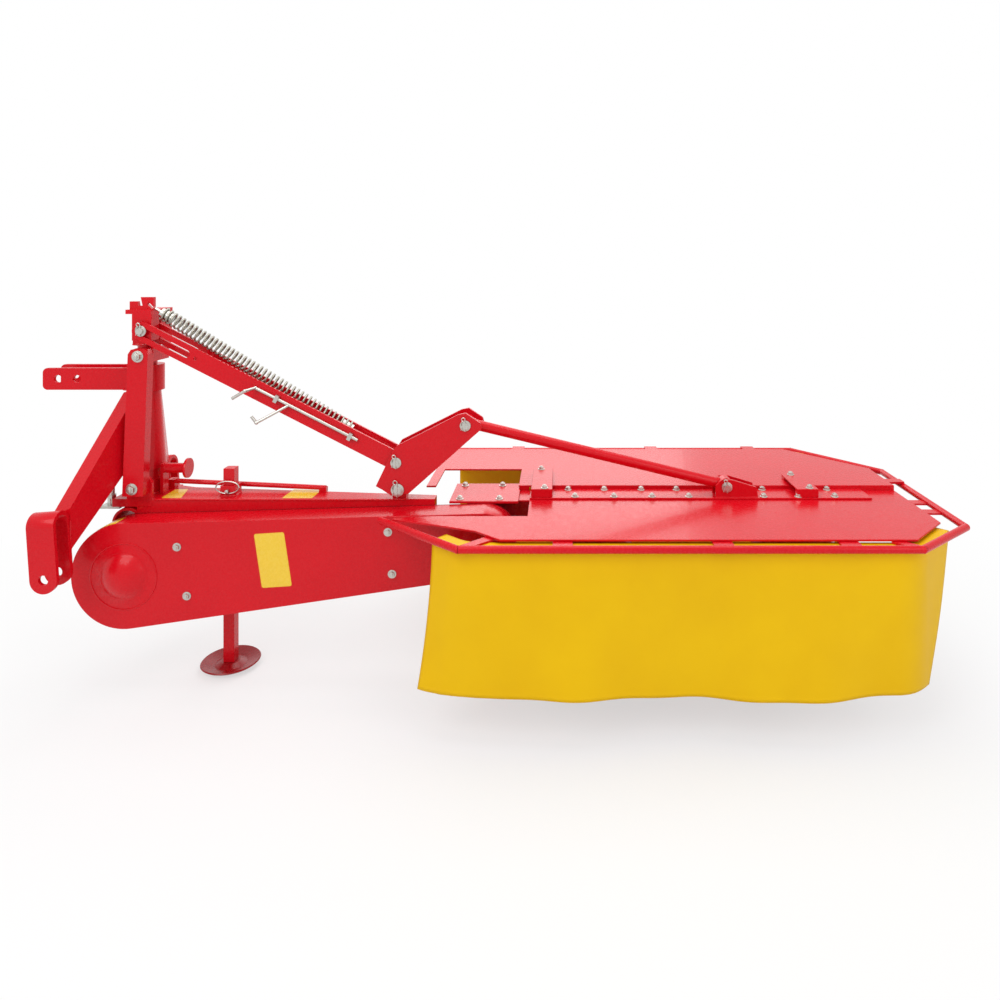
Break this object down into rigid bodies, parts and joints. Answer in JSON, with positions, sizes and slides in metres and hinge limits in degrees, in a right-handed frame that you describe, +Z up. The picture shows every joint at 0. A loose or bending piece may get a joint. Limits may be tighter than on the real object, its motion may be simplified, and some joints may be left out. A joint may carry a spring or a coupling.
{
  "type": "two-drum rotary mower, rear mounted, parked for transport",
  "caption": "Rear-mounted rotary drum mower with belt drive, swinging three-point hitch, float linkage, guard deck and cloth curtains on gliding saucers.",
  "frame": {"origin": "on the ground under the middle of the machine's box", "axes": "+X outboard along the cutter, +Y forward in work, +Z up"},
  "size_m": [2.9293, 1.0964, 1.22],
  "materials": {
    "red_paint": "gloss",
    "zinc_steel": "satin",
    "bare_steel": "satin",
    "curtain_cloth": "satin"
  },
  "bodies": {
    "beam": {"main_beam": "red_paint", "king_pin": "red_paint", "head": "red_paint", "brace_strap": "red_paint", "belt_cover": "red_paint", "cover_back": "red_paint", "drive_housing": "red_paint", "tension_stud": "zinc_steel", "stay_bar": "red_paint", "stand_socket": "red_paint", "rest_peg": "red_paint", "float_pin": "zinc_steel", "crank_pin": "zinc_steel", "spring_hook": "zinc_steel"},
    "hitch": {"hitch_sleeve": "red_paint", "near_leg": "red_paint", "far_leg": "red_paint", "near_bracket": "red_paint", "far_bracket": "red_paint", "upper_plates": "red_paint"},
    "stand": {"stand_leg": "red_paint", "stand_foot": "red_paint"},
    "bell_crank": {"crank_plates": "red_paint", "elbow_pin": "zinc_steel", "link_pin": "zinc_steel"},
    "lift_arm": {"arm_plates": "red_paint", "latch_rod": "zinc_steel", "float_spring": "zinc_steel", "spring_tail": "zinc_steel"},
    "link": {"tube_link": "red_paint"},
    "cutter": {"gearcase": "red_paint", "hinge_trunnion": "bare_steel", "near_deck": "red_paint", "far_deck": "red_paint", "centre_plate": "red_paint", "inner_plate": "red_paint", "deck_straps": "red_paint", "guard_rail": "red_paint", "link_bracket": "red_paint", "lug_pin": "zinc_steel", "near_curtain": "curtain_cloth", "far_curtain": "curtain_cloth"},
    "drum_in": {"inner_drum": "red_paint", "inner_disc": "red_paint", "inner_blades": "bare_steel"},
    "drum_out": {"outer_drum": "red_paint", "outer_disc": "red_paint", "outer_blades": "bare_steel"},
    "saucer_in": {"inner_saucer": "red_paint"},
    "saucer_out": {"outer_saucer": "red_paint"},
    "drive": {"drive_shaft": "bare_steel"}
  },
  "joints": [
    {"name": "hitch_swing", "type": "hinge", "parent": "beam", "child": "hitch", "pos_m": [-1.14565, -0.069, 0.78], "axis": [0, 0, -1], "range_deg": [0, 90]},
    {"name": "stand_slide", "type": "slide", "parent": "beam", "child": "stand", "axis": [0, 0, 1], "range_m": [0, 0.19]},
    {"name": "cutter_lift", "type": "hinge", "parent": "beam", "child": "cutter", "pos_m": [0.00935, -0.149, 0.455], "axis": [0, -1, 0], "range_deg": [0, 25], "deforming": ["float_spring"]},
    {"name": "crank_turn", "type": "hinge", "parent": "beam", "child": "bell_crank", "pos_m": [-0.27565, -0.147, 0.604], "axis": [0, -1, 0], "range_deg": [0, 36]},
    {"name": "arm_turn", "type": "hinge", "parent": "bell_crank", "child": "lift_arm", "pos_m": [-0.28065, -0.147, 0.691], "axis": [0, -1, 0], "range_deg": [-40, 0]},
    {"name": "link_turn", "type": "hinge", "parent": "bell_crank", "child": "link", "pos_m": [-0.05865, -0.147, 0.81], "axis": [0, -1, 0], "range_deg": [-20, 0]},
    {"name": "drum_in_spin", "type": "hinge", "parent": "cutter", "child": "drum_in", "pos_m": [0.35135, -0.069, 0.3], "axis": [0, 0, 1], "continuous": true},
    {"name": "drum_out_spin", "type": "hinge", "parent": "cutter", "child": "drum_out", "pos_m": [1.02635, -0.069, 0.3], "axis": [0, 0, 1], "continuous": true},
    {"name": "saucer_in_spin", "type": "hinge", "parent": "drum_in", "child": "saucer_in", "pos_m": [0.35135, -0.069, 0.05], "axis": [0, 0, 1], "continuous": true},
    {"name": "saucer_out_spin", "type": "hinge", "parent": "drum_out", "child": "saucer_out", "pos_m": [1.02635, -0.069, 0.05], "axis": [0, 0, 1], "continuous": true},
    {"name": "drive_spin", "type": "hinge", "parent": "beam", "child": "drive", "pos_m": [-1.11065, -0.069, 0.358], "axis": [0, 1, 0], "continuous": true}
  ],
  "couplings": [
    {"joint": "crank_turn", "follows": "cutter_lift", "ratio": 1.384},
    {"joint": "arm_turn", "follows": "cutter_lift", "ratio": -1.477},
    {"joint": "link_turn", "follows": "cutter_lift", "ratio": -0.78},
    {"joint": "drum_out_spin", "follows": "drum_in_spin", "ratio": -1},
    {"joint": "drive_spin", "follows": "drum_in_spin", "ratio": 0.3}
  ]
}
